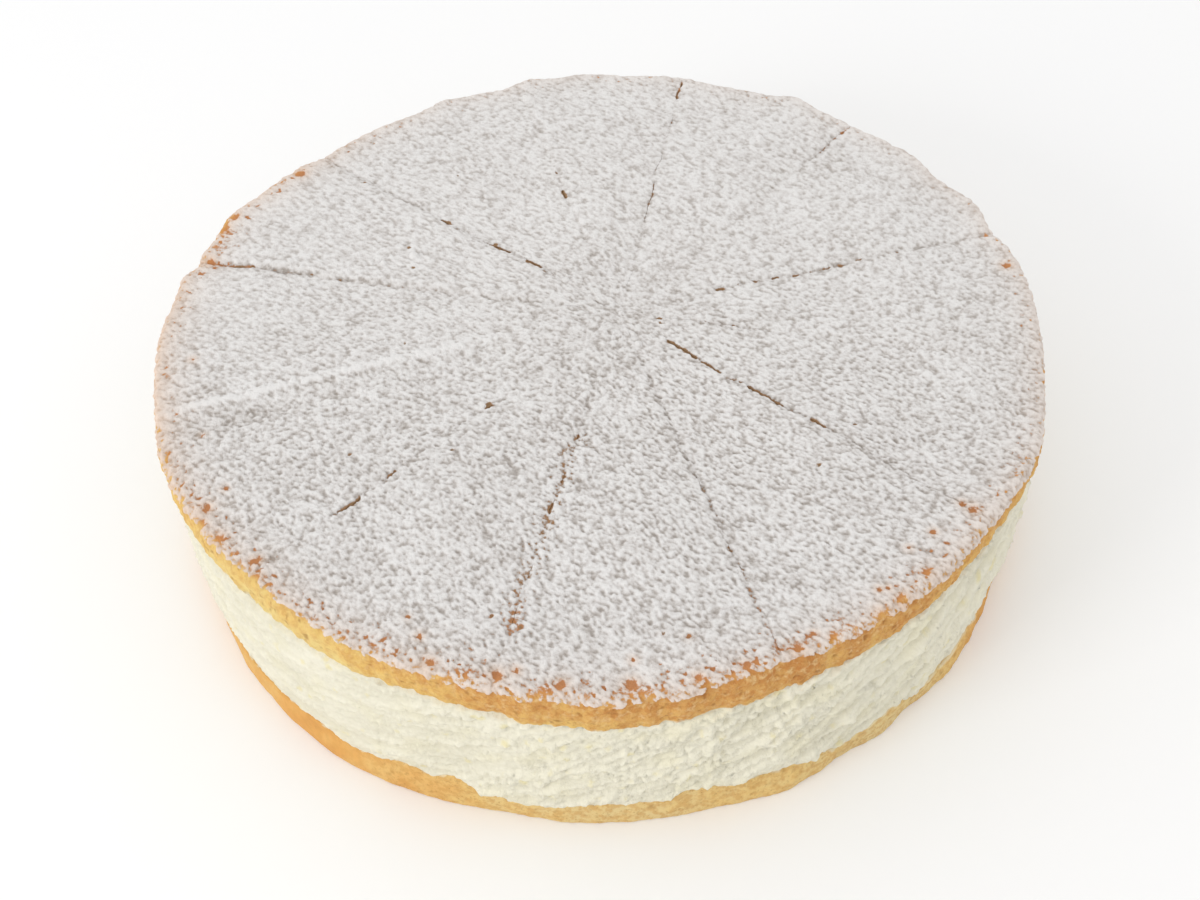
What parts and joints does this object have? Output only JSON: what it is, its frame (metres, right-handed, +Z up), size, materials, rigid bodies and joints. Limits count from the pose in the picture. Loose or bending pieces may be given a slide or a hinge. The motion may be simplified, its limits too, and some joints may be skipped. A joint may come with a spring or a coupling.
{
  "type": "quark cream cake",
  "caption": "Round cake of a thin sponge base, a thick band of set quark cream and a sponge lid cut into wedges and dusted with powdered sugar.",
  "frame": {"origin": "on the table, under the middle of the cake", "axes": "+Z up through the layers, -Y towards the side that shows best, +X to its right"},
  "size_m": [0.2815, 0.2844, 0.0675],
  "materials": {
    "base_sponge": "baked sponge, fine open crumb, matte",
    "quark_cream": "set quark cream, smeared by the knife, soft dull sheen",
    "sugared_sponge": "browned sponge under a dusting of powdered sugar, golden crumb at the rim, fully matte"
  },
  "bodies": {
    "root": {"base_sponge": "base_sponge", "quark_cream": "quark_cream", "lid_wedge_01": "sugared_sponge", "lid_wedge_02": "sugared_sponge", "lid_wedge_03": "sugared_sponge", "lid_wedge_04": "sugared_sponge", "lid_wedge_05": "sugared_sponge", "lid_wedge_06": "sugared_sponge", "lid_wedge_07": "sugared_sponge", "lid_wedge_08": "sugared_sponge", "lid_wedge_09": "sugared_sponge", "lid_wedge_10": "sugared_sponge", "lid_wedge_11": "sugared_sponge", "lid_wedge_12": "sugared_sponge"}
  },
  "joints": []
}
